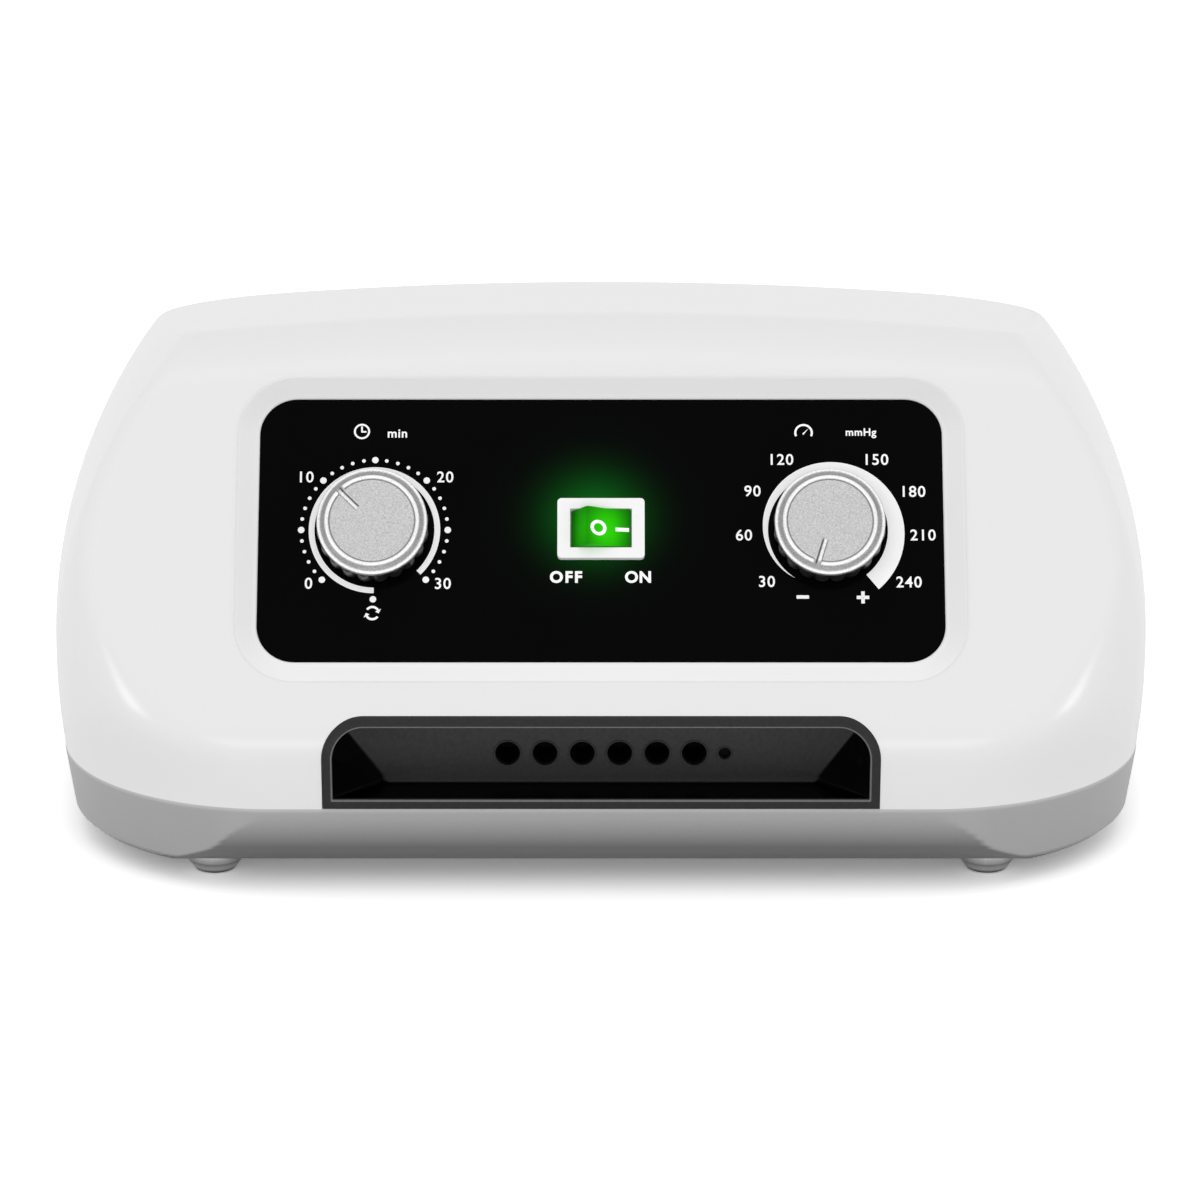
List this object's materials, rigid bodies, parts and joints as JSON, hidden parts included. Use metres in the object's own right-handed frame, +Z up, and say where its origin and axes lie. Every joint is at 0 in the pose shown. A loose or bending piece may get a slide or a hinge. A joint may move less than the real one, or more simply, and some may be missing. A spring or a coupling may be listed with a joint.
{
  "type": "compression therapy pump",
  "caption": "Table-top air compression pump: white domed cover on a grey tray, sloping black fascia with dials and a lit rocker, hose bay with ports in front.",
  "frame": {"origin": "bottom centre of the bounding box, on the table under the feet", "axes": "+Z up, front with the fascia and hose bay towards -Y, +X to the right seen from the front"},
  "size_m": [0.2734, 0.1696, 0.1258],
  "materials": {
    "cover_white": "satin-gloss moulded ABS",
    "tray_grey": "satin moulded ABS",
    "fascia_black": "high-gloss printed acrylic",
    "bay_black": "fine satin moulded ABS",
    "switch_white": "gloss moulded nylon",
    "rocker_green": "translucent, lit from inside",
    "knob_black": "dark satin grip",
    "knob_aluminium": "spun rim, bead-blasted disc",
    "foot_grey": "satin moulded rubber",
    "inlet_black": "moulded",
    "nylon_natural": "moulded",
    "rubber_black": "moulded",
    "silicone": "translucent tube",
    "steel": "zinc plated",
    "brass": "turned or stamped",
    "copper_winding": "enamelled winding",
    "magnet": "nickel plated",
    "pump_alloy": "die cast",
    "board_green": "solder mask",
    "fuse_glass": "clear"
  },
  "bodies": {
    "chassis": {"top_cover": "cover_white", "base_tray": "tray_grey", "fascia_plate": "fascia_black", "hose_port_bay": "bay_black", "air_manifold": "nylon_natural", "manifold_screws": "steel", "case_screws": "steel", "power_switch_housing": "switch_white", "switch_terminals": "brass", "mains_inlet_housing": "inlet_black", "mains_inlet_pins": "brass", "pump_air_chamber": "pump_alloy", "pump_frame": "steel", "left_diaphragm": "rubber_black", "right_diaphragm": "rubber_black", "left_pump_head": "pump_alloy", "right_pump_head": "pump_alloy", "front_core": "steel", "rear_core": "steel", "front_coil": "copper_winding", "rear_coil": "copper_winding", "rotary_valve_body": "nylon_natural", "rotary_valve_lid": "nylon_natural", "rotary_valve_motor": "steel", "valve_screws": "steel", "supply_tube": "silicone", "regulator_tube": "silicone", "control_board": "board_green", "board_fuse": "fuse_glass", "board_screws": "steel", "timer_housing": "nylon_natural", "pressure_valve_body": "brass", "timer_nut": "steel", "pressure_valve_nut": "steel", "front_left_foot": "foot_grey", "front_right_foot": "foot_grey", "rear_left_foot": "foot_grey", "rear_right_foot": "foot_grey", "pump_mount_1": "rubber_black", "pump_mount_2": "rubber_black", "pump_mount_3": "rubber_black", "pump_mount_4": "rubber_black", "outlet_tube_1": "silicone", "outlet_tube_2": "silicone", "outlet_tube_3": "silicone", "outlet_tube_4": "silicone", "outlet_tube_5": "silicone", "outlet_tube_6": "silicone"},
    "time_knob": {"time_knob_body": "knob_black", "time_knob_cap": "knob_aluminium", "timer_shaft": "brass"},
    "pressure_knob": {"pressure_knob_body": "knob_black", "pressure_knob_cap": "knob_aluminium", "pressure_valve_stem": "brass"},
    "power_rocker": {"power_switch_rocker": "rocker_green"},
    "valve_rotor": {"rotary_valve_rotor": "nylon_natural"},
    "armature": {"pump_armature": "pump_alloy", "armature_magnets": "magnet"}
  },
  "joints": [
    {"name": "time_knob_turn", "type": "hinge", "parent": "chassis", "child": "time_knob", "pos_m": [-0.0549, -0.05303, 0.08248], "axis": [0, -0.829, 0.5592], "range_deg": [-180, 135]},
    {"name": "pressure_knob_turn", "type": "hinge", "parent": "chassis", "child": "pressure_knob", "pos_m": [0.0549, -0.05303, 0.08248], "axis": [0, -0.829, 0.5592], "range_deg": [-298, 0]},
    {"name": "power_rocker_tilt", "type": "hinge", "parent": "chassis", "child": "power_rocker", "pos_m": [0, -0.05079, 0.08097], "axis": [0, -0.5592, -0.829], "range_deg": [0, 35]},
    {"name": "valve_rotor_spin", "type": "hinge", "parent": "chassis", "child": "valve_rotor", "pos_m": [0, -0.01395, 0.0344], "axis": [0, 0, 1], "continuous": true},
    {"name": "armature_stroke", "type": "slide", "parent": "chassis", "child": "armature", "axis": [1, 0, 0], "range_m": [-0.0012, 0.0012], "stiffness_N_per_m": 4000}
  ]
}
